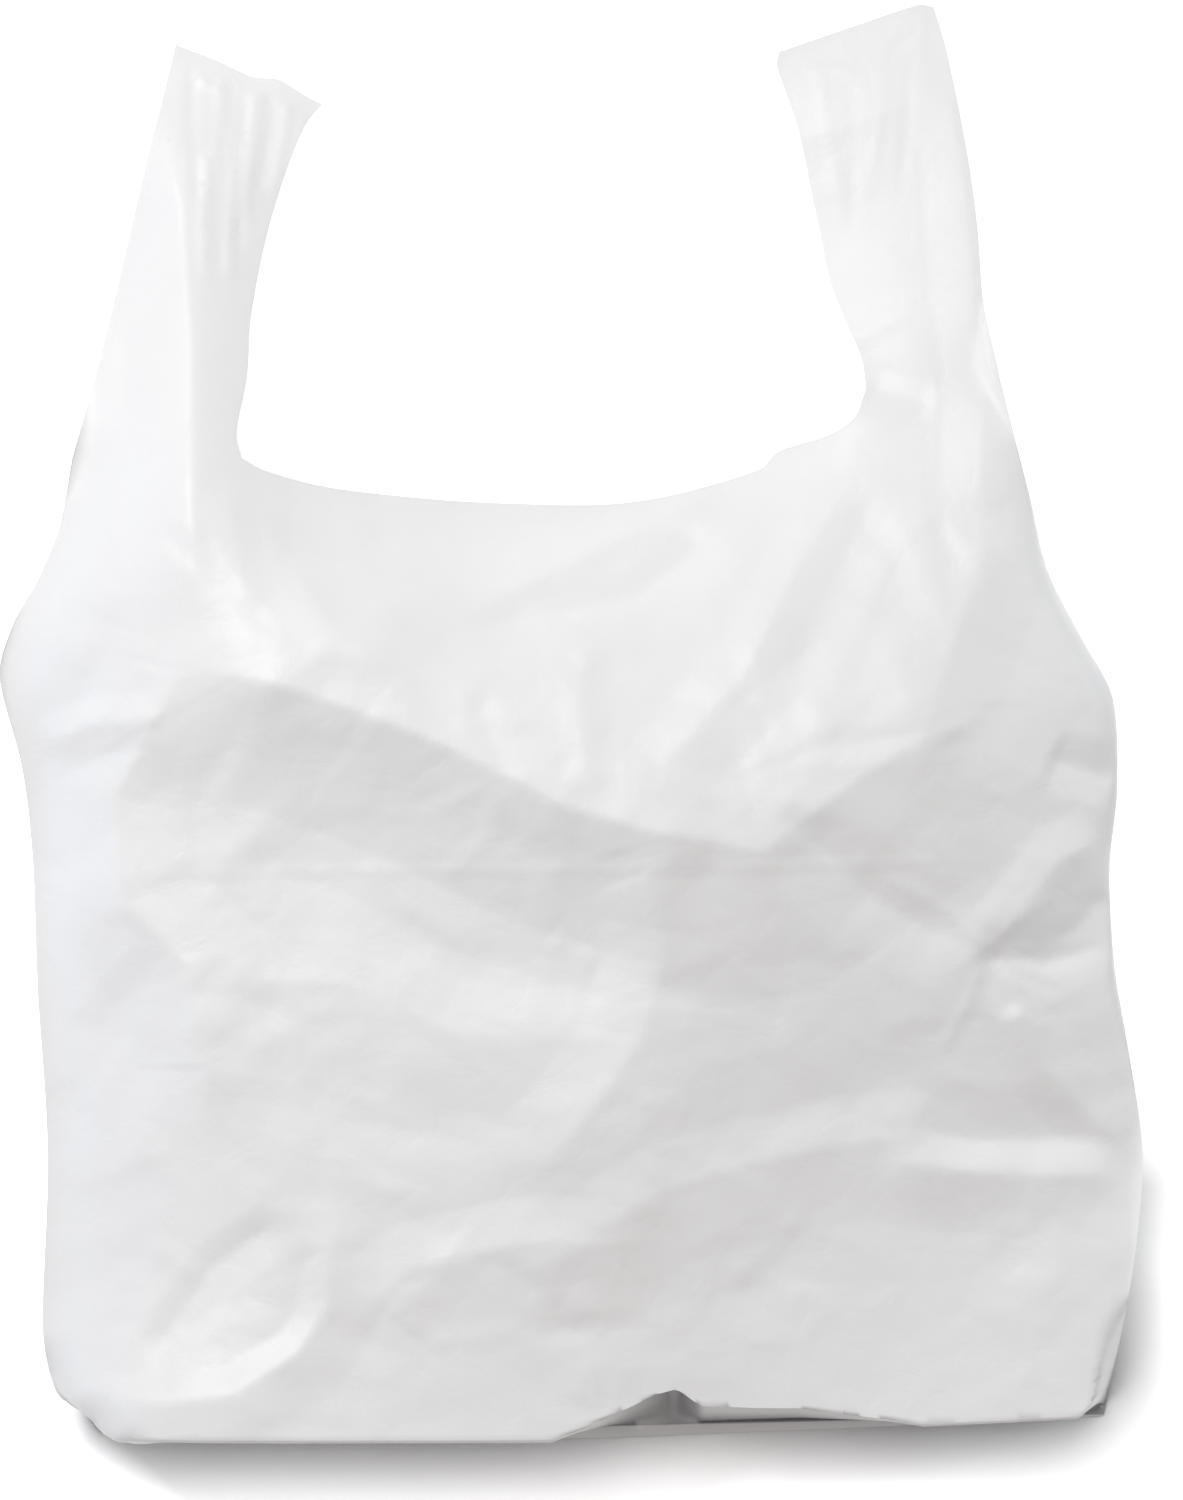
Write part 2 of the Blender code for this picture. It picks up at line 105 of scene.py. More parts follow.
# Heights of the puffed front, as (x, y, z).
HEIGHTS = [
    (-200, 5, 50), (-170, 5, 67), (-140, 5, 76), (-100, 5, 76), (-50, 5, 74), (0, 5, 71),
    (70, 5, 59), (140, 5, 54), (205, 5, 53),
    (-204, 60, 41), (-175, 60, 56), (-140, 60, 68), (-100, 60, 73), (-50, 60, 74), (0, 60, 74),
    (75, 60, 62), (150, 60, 53), (210, 60, 50),
    (-204, 120, 40), (-175, 120, 58), (-140, 120, 71), (-75, 120, 78), (0, 120, 81),
    (60, 120, 73), (110, 120, 63), (150, 120, 58), (210, 120, 46),
    (-204, 180, 42), (-175, 180, 59), (-140, 180, 70), (-75, 180, 78), (0, 180, 84),
    (60, 180, 84), (110, 180, 79), (150, 180, 72), (205, 180, 57),
    (-206, 225, 43), (-178, 225, 60), (-145, 225, 72), (-75, 225, 80), (0, 225, 86),
    (75, 222, 89), (115, 222, 85), (145, 222, 82), (163, 197, 75), (160, 235, 79),
    (205, 225, 57),
    (-208, 265, 44), (-178, 265, 61), (-145, 262, 74), (-100, 258, 78), (-50, 250, 82),
    (75, 252, 94), (130, 262, 86), (167, 262, 78), (205, 262, 60),
    (-216, 300, 46), (-180, 300, 66), (-150, 305, 77), (-89, 304, 84), (0, 275, 92),
    (140, 285, 86), (200, 295, 66),
    (-208, 330, 50), (-178, 330, 68), (-150, 330, 80), (-75, 330, 83), (0, 325, 80),
    (75, 325, 81), (130, 340, 74), (162, 345, 71), (190, 335, 66),
    (-193, 385, 46), (-172, 385, 59), (-150, 385, 66), (-120, 385, 57), (-76, 376, 46),
    (-39, 374, 36), (11, 373, 33), (41, 377, 34), (75, 387, 41), (112, 410, 49),
    (140, 400, 55), (172, 400, 57),
    (-188, 432, 37), (-151, 432, 47), (-128, 432, 42),
    (-182, 460, 27), (-154, 460, 36), (-125, 460, 31),
    (-175, 490, 18), (-156, 490, 24), (-119, 490, 20),
    (-169, 520, 12), (-158, 520, 15), (-108, 520, 12),
    (-160, 545, 6), (-130, 542, 9), (-104, 535, 7),
    (172, 432, 43), (160, 432, 44), (135, 432, 43), (116, 432, 36),
    (167, 460, 34), (156, 460, 35), (128, 460, 31), (104, 460, 24),
    (163, 490, 24), (152, 490, 25), (124, 490, 21), (97, 490, 16),
    (158, 515, 17), (150, 515, 18), (121, 515, 16), (92, 515, 11),
    (148, 560, 8), (115, 556, 10), (84, 552, 7),
]

# Folds of the front, each as (height, reach to the left, reach to the right, line). The sides
# are those of someone walking along the line. A height below nought is a crease.
FOLDS = [
    # The folds between the front and the two gussets.
    (7.5, 40, 26, [(-159, 546), (-161, 513), (-156, 493), (-154, 468), (-151, 436), (-151, 376),
                 (-150, 321)]),
    (7, 30, 30, [(-150, 334), (-156, 305), (-168, 282), (-181, 258), (-177, 215), (-152, 190),
                 (-143, 150), (-150, 115)]),
    (2.5, 22, 16, [(144, 560), (156, 515), (160, 460), (164, 420), (163, 388), (163, 364),
                 (162, 345)]),
    (4, 26, 30, [(163, 372), (162, 345), (156, 335), (142, 292), (138, 276)]),
    # The shoulder across the front.
    (14, 52, 50, [(-166, 312), (-140, 306.5), (-112, 301), (-82, 291), (-48, 277), (-26, 266),
                  (2, 252), (33, 244), (60, 239)]),
    (10, 52, 58, [(5, 251), (33, 244), (75, 236), (115, 266), (138, 280), (158, 288), (172, 292)]),
    (1.2, 10, 8, [(7, 322), (3, 296), (7, 256)]),
    # The leaf-shaped facet above the shoulder.
    (2, 16, 8, [(-50, 326), (-5, 348), (27, 364), (67, 380)]),
    (-3, 10, 18, [(-48, 324), (-13, 330), (27, 338), (67, 372)]),
    # Folds that run down from the foot of each handle.
    (3, 20, 14, [(119, 400), (91, 352), (67, 304), (27, 260)]),
    (-2, 16, 16, [(124, 384), (100, 335), (80, 290)]),
    (1.8, 14, 14, [(-134, 384), (-97, 328), (-65, 300)]),
    (1.2, 10, 10, [(-138, 386), (-132, 352), (-126, 326)]),
    (-1.6, 8, 10, [(116, 420), (145, 413)]),
    # The left side.
    (2.5, 10, 12, [(-213, 276), (-193, 286), (-160, 290)]),
    # The middle of the front: a light band, a dark facet and a long slope to the right.
    (-2, 34, 20, [(-138, 236), (-112, 226), (-87, 218), (-59, 201), (-9, 185), (30, 174)]),
    (2.6, 20, 34, [(-146, 178), (-129, 184), (-93, 184), (-70, 178), (-54, 166), (-26, 162),
                 (27, 160)]),
    (-1.8, 26, 22, [(-140, 142), (-96, 131), (-24, 118)]),
    (4.5, 48, 24, [(20, 246), (33, 228), (36, 192), (27, 160), (8, 133), (-22, 98)]),
    # The wave and the dark facet low on the front.
    (3, 18, 30, [(-5, 72), (11, 86), (35, 101), (67, 111), (104, 119), (133, 123), (166, 118)]),
    (4, 12, 24, [(120, 114), (150, 109), (185, 107), (222, 107)]),
    (-2.5, 22, 10, [(132, 126), (160, 121), (190, 122), (222, 122)]),
    (3.5, 18, 34, [(-88, 40), (-78, 58), (-62, 71), (-19, 81), (38, 80)]),
    # The pocket at the lower left.
    (3.5, 20, 10, [(-120, 90), (-97, 78), (-96, 56), (-108, 37), (-134, 21), (-162, 17), (-204, 20)]),
    (-2.2, 9, 13, [(-168, 26), (-160, 45), (-142, 72), (-110, 94)]),
    # The pinch at the right, where folds meet from all sides.
    (-3.5, 20, 22, [(82, 254), (118, 219), (140, 205), (161, 198)]),
    (4, 14, 22, [(162, 195), (171, 205), (180, 215), (195, 234), (212, 242)]),
    (-2.5, 16, 22, [(158, 200), (172, 193), (186, 190), (200, 193), (218, 203)]),
    (-3, 18, 20, [(160, 198), (182, 194), (200, 205), (218, 224)]),
    (1, 5, 14, [(162, 199), (176, 189), (190, 186), (216, 195)]),
    (4, 16, 14, [(160, 202), (174, 178), (187, 150), (203, 134), (226, 112)]),
    (-2.5, 7, 7, [(163, 198), (168, 184), (177, 170)]),
    (-3, 12, 12, [(188, 274), (205, 268), (217, 264)]),
]

# Small creases that the solid leaves out: the fold from packing, the pleats gathered under each
# handle's seal, and the fine creases that meet at the pinch. The same form as the folds.
PLEATS = [
    (0.25, 3, 3, [(-208, 226), (-110, 228), (11, 229), (121, 231), (195, 235)]),
    (-0.8, 3, 3, [(-152, 556), (-152, 528), (-149, 492)]),
    (0.8, 4, 2.8, [(-145, 520), (-147, 490), (-146, 458)]),
    (0.8, 4, 2.8, [(-134, 516), (-136, 490), (-137, 458)]),
    (0.7, 3, 2.8, [(-140, 554), (-141, 534), (-143, 508)]),
    (1.1, 4, 3, [(-125, 552), (-129, 520), (-133, 482)]),
    (-0.8, 3, 3, [(-131, 540), (-132, 508), (-134, 468)]),
    (-0.8, 3, 3, [(-120, 550), (-121, 525), (-125, 496)]),
    (1.0, 4, 3, [(-112, 545), (-115, 522), (-120, 494)]),
    (0.7, 3, 3, [(-105, 540), (-109, 524), (-114, 504)]),
    (0.8, 3, 3, [(-154, 549), (-142, 542), (-132, 546)]),
    (-0.7, 3, 3, [(-155, 553), (-146, 546), (-134, 541)]),
    (0.6, 3, 3, [(-130, 540), (-120, 543), (-108, 539)]),
    (0.3, 4, 3, [(98, 556), (102, 526), (108, 488)]),
    (-0.3, 4, 4, [(111, 552), (113, 520), (112, 478)]),
    (0.25, 3, 3, [(125, 566), (124, 535), (119, 498)]),
    (-0.3, 3, 3, [(136, 560), (134, 528), (131, 494)]),
    (0.35, 3, 3, [(92, 546), (104, 550), (116, 546)]),
    (-0.35, 3, 3, [(120, 548), (132, 558), (143, 570)]),
    (0.6, 4, 3, [(165, 197), (149, 212), (122, 228)]),
    (-0.5, 3, 4, [(164, 197), (156, 214), (143, 240)]),
    (0.5, 3, 3, [(165, 197), (176, 208), (194, 220)]),
    (0.5, 3, 4, [(164, 197), (184, 197), (208, 202)]),
    (-0.5, 3, 3, [(164, 197), (178, 186), (198, 178)]),
    (0.5, 4, 3, [(164, 197), (158, 178), (145, 154)]),
]


def crumple_lines():
    """Many short shallow creases, laid at random but the same way every time."""
    chance = np.random.default_rng(7)
    lines = []
    for _ in range(240):
        start = np.array([chance.uniform(-215, 215), chance.uniform(12, 400)])
        turn = chance.normal(0.15, 0.8) if start[1] < 300 else chance.normal(-0.9, 0.7)
        size = chance.uniform(20, 75)
        bend = chance.normal(0, 0.25)
        middle = start + np.array([math.cos(turn), math.sin(turn)]) * size / 2
        end = middle + np.array([math.cos(turn + bend), math.sin(turn + bend)]) * size / 2
        height = chance.choice([-1, 1]) * chance.uniform(0.15, 0.6)
        left, right = chance.uniform(5, 14, 2)
        lines.append((height, left, right, [start, middle, end]))
    return lines


CRUMPLES = crumple_lines()


def ease(value):
    """0 below 0, 1 above 1, and smooth between."""
    t = np.clip(value, 0, 1)
    return t * t * (3 - 2 * t)


def curve_through(points, step):
    """The drawn points joined by a smooth curve, as points about one step apart, in metres."""
    drawn = np.array(points, float) * PLAN
    ends = np.vstack([2 * drawn[0] - drawn[1], drawn, 2 * drawn[-1] - drawn[-2]])
    fine = [drawn[0]]
    for before, start, end, after in zip(ends, ends[1:], ends[2:], ends[3:]):
        run = np.linalg.norm(end - start)
        out = (end - before) * 0.5 * min(1, run / np.linalg.norm(end - before) * 2)
        into = (after - start) * 0.5 * min(1, run / np.linalg.norm(after - start) * 2)
        for t in np.linspace(0, 1, 13)[1:]:
            fine.append(
                (2 * t**3 - 3 * t**2 + 1) * start + (t**3 - 2 * t**2 + t) * out
                + (3 * t**2 - 2 * t**3) * end + (t**3 - t**2) * into
            )
    fine = np.array(fine)
    length = np.concatenate([[0], np.cumsum(np.linalg.norm(np.diff(fine, axis=0), axis=1))])
    count = max(2, round(length[-1] / step) + 1)
    at = np.linspace(0, length[-1], count)
    return np.column_stack([np.interp(at, length, fine[:, k]) for k in (0, 1)])


def near_line(points, line):
    """For each point: distance to the line, share along it, the side, and the step to its right."""
    parts = [near_part(some, line) for some in np.array_split(points, len(points) // 4000 + 1)]
    return tuple(np.concatenate(column) for column in zip(*parts))


def near_part(points, line):
    start, end = line[:-1], line[1:]
    run = end - start
    size = np.linalg.norm(run, axis=1)
    away = points[:, None, :] - start[None]
    share = np.clip((away * run).sum(2) / size**2, 0, 1)
    foot = start + share[..., None] * run
    distance = np.linalg.norm(points[:, None, :] - foot, axis=2)
    pick = distance.argmin(1)
    rows = np.arange(len(points))
    before = np.concatenate([[0], np.cumsum(size)])
    along = (before[pick] + share[rows, pick] * size[pick]) / before[-1]
    cross = run[pick, 0] * away[rows, pick, 1] - run[pick, 1] * away[rows, pick, 0]
    right = np.column_stack([run[pick, 1], -run[pick, 0]]) / size[pick][:, None]
    return distance[rows, pick], along, cross, right


def plate_through(heights):
    """A smooth plate through the drawn heights, as a function of plan points."""
    drawn = np.array(heights, float)
    places = drawn[:, :2] / 100

    def kernel(a, b):
        square = ((a[:, None] - b[None]) ** 2).sum(2)
        return 0.5 * square * np.log(square + 1e-12)

    count = len(drawn)
    matrix = np.zeros((count + 3, count + 3))
    matrix[:count, :count] = kernel(places, places) + np.eye(count) * 0.02
    matrix[:count, count:] = np.column_stack([np.ones(count), places])
    matrix[count:, :count] = matrix[:count, count:].T
    weights = np.linalg.solve(matrix, np.concatenate([drawn[:, 2], np.zeros(3)]))

    def height(points):
        at = points / PLAN / 100
        flat = np.column_stack([np.ones(len(at)), at]) @ weights[count:]
        return (kernel(at, places) @ weights[:count] + flat) * RISE

    return height


def fold_height(points, folds, power, blunt_to):
    """The height that the folds add. Each is worked out only for the points near it."""
    total = np.zeros(len(points))
    for height, left, right, line in folds:
        line = np.array(line, float) * PLAN
        margin = max(left, right) * PLAN
        near = ((points > line.min(0) - margin) & (points < line.max(0) + margin)).all(1)
        if not near.any():
            continue
        distance, along, side, _ = near_line(points[near], line)
        reach = np.where(side > 0, left, right) * PLAN
        fade = ease(along / 0.22) * ease((1 - along) / 0.22)
        blunt = np.sqrt(distance**2 + blunt_to**2) - blunt_to
        total[near] += height * RISE * fade * np.clip(1 - blunt / reach, 0, 1) ** power
    return total


def facet_sheet(spacing, stretch, turn, seed):
    """Small flat facets, as crushed film has, as a function of plan points: -1 to 1 high."""
    chance = np.random.default_rng(seed)
    count = int(0.9 / spacing)
    column, row = np.meshgrid(np.arange(count), np.arange(count))
    corners = np.column_stack([(column + row % 2 / 2).ravel(), row.ravel() * 0.866])
    corners = (corners + chance.uniform(-0.42, 0.42, corners.shape)) * spacing - 0.42
    high = chance.uniform(-1, 1, len(corners)) * spacing
    found = delaunay_2d_cdt([Vector(p) for p in corners], [], [], 0, 1e-7)
    raised = [(v[0], v[1], high[sources[0]]) for v, sources in zip(found[0], found[3])]
    tree = BVHTree.FromPolygons(raised, found[2])
    across = np.array([math.cos(turn), math.sin(turn)])
    along = np.array([-across[1], across[0]])

    def height(points):
        flat = np.column_stack([points @ across / stretch, points @ along])
        hits = [tree.ray_cast((x, y, 1), (0, 0, -1))[0] for x, y in flat.tolist()]
        return np.array([hit.z / spacing if hit else 0 for hit in hits])

    return height


SMOOTH_FRONT = plate_through(HEIGHTS)
FACETS = [
    # Each layer of facets as (height in metres, sheet).
    (0.00075, facet_sheet(0.026, 1.8, 0.5, 3)),
    (0.00035, facet_sheet(0.012, 1.6, -0.4, 5)),
]
SIDES = {name: curve_through(line, 0.004) for name, line in (
    ("left", LEFT_SIDE), ("left out", LEFT_STRAP_OUTSIDE), ("left top", LEFT_HANDLE_TOP),
    ("left in", LEFT_STRAP_INSIDE), ("rim", RIM), ("right in", RIGHT_STRAP_INSIDE),
    ("right top", RIGHT_HANDLE_TOP), ("right out", RIGHT_STRAP_OUTSIDE),
    ("right", RIGHT_SIDE), ("seal", BOTTOM_SEAL),
)}


def nearest_side(points, names):
    """Distance to the nearest of the named edges, and the unit step inwards from it."""
    best = np.full(len(points), 9.0)
    inward = np.zeros((len(points), 2))
    for name in names:
        distance, _, _, right = near_line(points, SIDES[name])
        closer = distance < best
        best = np.where(closer, distance, best)
        inward[closer] = right[closer]
    return best, inward


def place(points, front):
    """Plan points of one sheet, lifted to where the film lies."""
    to_side, off_side = nearest_side(points, ("left", "left out", "right", "right out"))
    to_seal, _ = nearest_side(points, ("seal",))
    to_top, _ = nearest_side(points, ("left top", "right top"))
    to_open, off_open = nearest_side(points, ("left out", "left in", "rim", "right in", "right out"))
    to_joined, _ = nearest_side(points, ("left", "right"))
    to_joined = np.minimum(to_joined, to_top)
    left_notch = LEFT_SIDE[-1][1] * PLAN
    right_notch = RIGHT_SIDE[0][1] * PLAN
    notch = np.where(points[:, 0] < 0, left_notch, right_notch)
    parted = ease((points[:, 1] - notch) / NOTCH_RISE)

    reach = np.where(points[:, 0] < 0, LEFT_ROUND, RIGHT_ROUND) if front else BACK_ROUND
    turn = np.clip(to_side / reach + parted, 0, 1) * math.pi / 2
    slide = (reach * (1 - np.cos(np.clip(to_side / reach, 0, 1) * math.pi / 2)) - to_side)
    slide = np.where(to_side < reach, slide, 0) * (1 - parted) * ease(to_seal / 0.03) * 0.8
    plan = points + off_side * slide[:, None]

    y, left_share, right_share = np.array(SIDE_SHARES, float).T
    shares = [np.interp(points[:, 1] / PLAN, y, side) for side in (left_share, right_share)]
    side_share = np.where(points[:, 0] < 0, *shares)
    joined = SIDE_HEIGHT * side_share * ease((to_seal - SEAL_BAND * 0.5) / 0.05)
    back = WALL + joined * (1 - np.sin(turn))
    if not front:
        hidden = BACK_SET_IN * ease(to_joined / 0.03) * np.clip(1 - to_open / 0.03, 0, 1)
        plan = plan + off_open * hidden[:, None]
        return np.column_stack([plan, back])

    hang = np.interp(points[:, 0] / PLAN, *np.array(OVERHANG, float).T)
    lift = np.clip((to_seal - SEAL_BAND) / (BOTTOM_ROUND * (1 - 0.3 * hang)), 0, 1)
    growth = np.interp(to_seal * 1000, *np.array(HANG_GROWTH, float).T)
    hollow = np.sin(math.pi * np.clip(lift, 0, 1)) * (1 - hang) * BOTTOM_HOLLOW
    plan[:, 1] -= (hang * growth * BOTTOM_HANG - hollow) * ease((to_side - 0.002) / 0.013)
    puffed = np.concatenate([SMOOTH_FRONT(some) for some in np.array_split(plan, 20)])
    puffed += fold_height(plan, FOLDS, 1.15, CREASE_RADIUS)
    puffed += fold_height(plan, CRUMPLES, 1.15, 0.0010)
    for size, sheet in FACETS:
        puffed += size * sheet(plan)
    top = np.clip((to_top - HANDLE_SEAL_BAND * 0.15) / 0.036, 0, 1)
    top = top * (1.5 - 0.5 * top)
    pleats = fold_height(plan, PLEATS, 1.2, 0.0007) * ease((to_top - HANDLE_SEAL_BAND * 0.5) / 0.006)
    share = np.sin(turn) * np.sin(lift * math.pi / 2) ** (1.6 - 1.35 * hang)
    base = WALL + joined
    height = base + (puffed - base) * share
    height = WALL + (height - WALL) * top + pleats * share
    least = SEAL_GAP * np.clip(np.minimum(to_joined, to_seal) / 0.002, 0, 1)
    return np.column_stack([plan, np.maximum(height, back + least)])


def outline(step):
    """The closed outline as points, and for each whether the front and the back join there."""
    points, joined = [], []
    for line, is_joined in (
        (LEFT_SIDE, True), (LEFT_STRAP_OUTSIDE, False), (LEFT_HANDLE_TOP, True),
        (LEFT_STRAP_INSIDE, False), (RIM, False), (RIGHT_STRAP_INSIDE, False),
        (RIGHT_HANDLE_TOP, True), (RIGHT_STRAP_OUTSIDE, False), (RIGHT_SIDE, True),
        (BOTTOM_SEAL, True),
    ):
        curve = curve_through(line, step)
        points.extend(curve[:-1])
        joined.extend([is_joined] * (len(curve) - 1))
        if not joined[-len(curve) + 1]:
            joined[-len(curve) + 1] = len(joined) >= len(curve) and joined[-len(curve)]
    return np.array(points), np.array(joined)


def inside_of(points, ring):
    """Whether each point is inside the closed ring."""
    x, y = points[:, 0][:, None], points[:, 1][:, None]
    ax, ay = ring[:, 0], ring[:, 1]
    bx, by = np.roll(ax, -1), np.roll(ay, -1)
    crosses = (ay > y) != (by > y)
    rise = np.where(by == ay, 1, by - ay)
    return (crosses & (x < (bx - ax) * (y - ay) / rise + ax)).sum(1) % 2 == 1


def beside(names, distance):
    """A line that runs beside the named edges, this far inside them."""
    line = np.vstack([SIDES[name] for name in names])
    line = line[np.concatenate([[True], np.linalg.norm(np.diff(line, axis=0), axis=1) > 1e-6])]
    run = np.gradient(line, axis=0)
    inward = np.column_stack([run[:, 1], -run[:, 0]]) / np.linalg.norm(run, axis=1)[:, None]
    return line + inward * distance


def sheet_faces(ring, step, lines):
    """Plan points and triangles that fill the ring, with edges along the given lines."""
    edges = [(k, (k + 1) % len(ring)) for k in range(len(ring))]
    points = list(ring)
    kept = np.array(ring)
    for line in lines:
        length = np.linalg.norm(np.diff(line, axis=0), axis=1).sum()
        count = max(2, round(length / step) + 1)
        before = np.concatenate([[0], np.cumsum(np.linalg.norm(np.diff(line, axis=0), axis=1))])
        at = np.linspace(0, before[-1], count)
        dense = np.column_stack([np.interp(at, before, line[:, k]) for k in (0, 1)])
        gap = np.linalg.norm(dense[:, None] - kept[None], axis=2).min(1)
        dense = dense[inside_of(dense, np.array(ring)) & (gap > min(0.45 * step, 0.0045))]
        for k, point in enumerate(dense):
            points.append(point)
            if k and np.linalg.norm(point - dense[k - 1]) < 1.6 * step:
                edges.append((len(points) - 2, len(points) - 1))
        kept = np.vstack([kept, dense])
    low, high = np.array(ring).min(0), np.array(ring).max(0)
    rows = []
    for j, y in enumerate(np.arange(low[1], high[1], step * 0.866)):
        x = np.arange(low[0], high[0], step) + (j % 2) * step / 2
        rows.append(np.column_stack([x, np.full(len(x), y)]))
    grid = np.vstack(rows)
    grid = grid[inside_of(grid, np.array(ring))]
    gap = np.concatenate([
        np.linalg.norm(part[:, None] - kept[None], axis=2).min(1) for part in np.array_split(grid, 40)
    ])
    points.extend(grid[gap > 0.62 * step])
    found = delaunay_2d_cdt([Vector(p) for p in points], edges, [list(range(len(ring)))], 1, 1e-7)
    return np.array([tuple(v) for v in found[0]]), found[2], found[3]


def bag_surface(front_step, back_step):
    """The film as one open surface: points, and triangles facing out."""
    ring, joined = outline(front_step)
    lines = [np.array(line, float) * PLAN for _, _, _, line in FOLDS + PLEATS]
    left, right = ("left", "left out"), ("right out", "right")
    front_rows = [beside(left, LEFT_ROUND * share) for share in (0.33, 0.66, 1)]
    front_rows += [beside(right, RIGHT_ROUND * share) for share in (0.45, 1)]
    back_rows = [beside(pair, BACK_ROUND * share) for pair in (left, right) for share in (0.33, 0.66, 1)]
    seal_rows = [
        beside(("seal",), SEAL_BAND + BOTTOM_ROUND * share)
        for share in (0, 0.1, 0.2, 0.35, 0.5, 0.7, 1)
    ]
    vertices, faces = [], []
    seen = {}
    for front, step, creases in (
        (True, front_step, seal_rows + front_rows + lines), (False, back_step, back_rows),
    ):
        flat, triangles, came_from = sheet_faces(ring, step, creases)
        ring_index = {}
        for k, sources in enumerate(came_from):
            for source in sources:
                if source < len(ring):
                    ring_index[k] = source
        placed = place(flat, front)
        numbers = []
        for k, point in enumerate(placed):
            source = ring_index.get(k)
            if source is not None and joined[source]:
                if source not in seen:
                    seen[source] = len(vertices)
                    vertices.append(point)
                numbers.append(seen[source])
            else:
                numbers.append(len(vertices))
                vertices.append(point)
        for a, b, c in triangles:
            ab, ac = flat[b] - flat[a], flat[c] - flat[a]
            upward = ab[0] * ac[1] - ab[1] * ac[0] > 0
            a, b, c = (numbers[k] for k in (a, b, c))
            faces.append((a, b, c) if upward == front else (a, c, b))
    return np.array(vertices), faces


def new_node(tree, kind, inputs=None, **settings):
    """A new shader node with its settings made, and its inputs set to a value or linked."""
    node = tree.nodes.new("ShaderNode" + kind)
    for name, value in settings.items():
        setattr(node, name, value)
    for key, value in (inputs or {}).items():
        if isinstance(value, bpy.types.NodeSocket):
            tree.links.new(value, node.inputs[key])
        else:
            node.inputs[key].default_value = value
    return node


def ramped(tree, value, low, high, to_low=0, to_high=1):
    """The value as a share between low and high, kept within to_low and to_high."""
    ranges = {"Value": value, "From Min": low, "From Max": high, "To Min": to_low, "To Max": to_high}
    return new_node(tree, "MapRange", ranges).outputs["Result"]


def reckon(tree, operation, first, second, third=None, clamp=False):
    """The outcome of one sum."""
    inputs = {0: first, 1: second}
    if third is not None:
        inputs[2] = third
    return new_node(tree, "Math", inputs, operation=operation, use_clamp=clamp).outputs["Value"]


def toward(tree, where, direction):
    """How far each place lies in a direction."""
    inputs = {0: where, 1: direction}
    return new_node(tree, "VectorMath", inputs, operation="DOT_PRODUCT").outputs["Value"]


def crevice_painted_shade(tree, where, tone):
    """Painted shade in the deep crevice between the bottom seal and the front that hangs over it:
    the film's colour is darkened there by ambient occlusion, with the thin pale line of the seal's own
    edge left as it is."""
    above = toward(tree, where, SEAL_NORMAL)
    strip = ramped(tree, above, -0.2832, -0.2824)
    fade = ramped(tree, above, -0.245, -0.262)
    sky = new_node(tree, "AmbientOcclusion", {"Distance": CREVICE_SHADE_REACH}, samples=3)
    depth = ramped(tree, sky.outputs["AO"], 0.96, 0.72)
    shade_amount = reckon(tree, "MULTIPLY", reckon(tree, "MULTIPLY", strip, fade), depth)
    # Painted shade: the film's colour is mixed toward near-black where the crevice is occluded.
    mixed = new_node(tree, "Mix", data_type="RGBA")
    tree.links.new(shade_amount, mixed.inputs[0])
    tree.links.new(tone, mixed.inputs[6])
    mixed.inputs[7].default_value = CREVICE_SHADE_COLOUR
    return mixed.outputs[2]


def film_material():
    """White polyethylene film: a soft sheen, faint lines along the film, fine wrinkles, and painted
    shade in the crevice over the bottom seal.
    """
    material = bpy.data.materials.new("white_film")
    material.use_nodes = True
    tree = material.node_tree
    surface = tree.nodes["Principled BSDF"]
    surface.inputs["Specular IOR Level"].default_value = 0.4
    surface.inputs["IOR"].default_value = 1.5

    where = new_node(tree, "TexCoord").outputs["Object"]
    stretched = new_node(tree, "Mapping", {"Vector": where, "Scale": (260, 9, 60)})
    lines = new_node(tree, "TexNoise", {
        "Vector": stretched.outputs["Vector"], "Scale": 1.0, "Detail": 3,
    })
    wrinkle = new_node(tree, "TexNoise", {
        "Vector": where, "Scale": 55, "Detail": 6, "Roughness": 0.55, "Distortion": 0.6,
    })
    bent = new_node(tree, "VectorMath", {
        0: wrinkle.outputs["Color"], 1: (0.03, 0.03, 0.03), 2: where,
    }, operation="MULTIPLY_ADD")
    cells = new_node(tree, "TexVoronoi", {
        "Vector": bent.outputs["Vector"], "Scale": 42,
    }, feature="DISTANCE_TO_EDGE")
    ridge = ramped(tree, cells.outputs["Distance"], 0, 0.12)
    relief = reckon(tree, "MULTIPLY_ADD", ridge, 0.10, wrinkle.outputs["Fac"])
    relief = reckon(tree, "MULTIPLY_ADD", lines.outputs["Fac"], 0.12, relief)
    bump = new_node(tree, "Bump", {"Height": relief, "Strength": 0.35, "Distance": 0.0012})
    tree.links.new(bump.outputs["Normal"], surface.inputs["Normal"])

    cloud = new_node(tree, "TexNoise", {"Vector": where, "Scale": 9, "Detail": 3})
    tone = new_node(tree, "ValToRGB", {"Fac": cloud.outputs["Fac"]})
    for stop, (position, colour) in zip(tone.color_ramp.elements, FILM_TONES):
        stop.position = position
        stop.color = colour
    # Painted shade: the crevice over the bottom seal is darkened in the base colour.
    tone_with_painted_shade = crevice_painted_shade(tree, where, tone.outputs["Color"])
    tree.links.new(tone_with_painted_shade, surface.inputs["Base Color"])
    gloss = ramped(tree, wrinkle.outputs["Fac"], 0, 1, 0.36, 0.5)
    tree.links.new(gloss, surface.inputs["Roughness"])
    return material


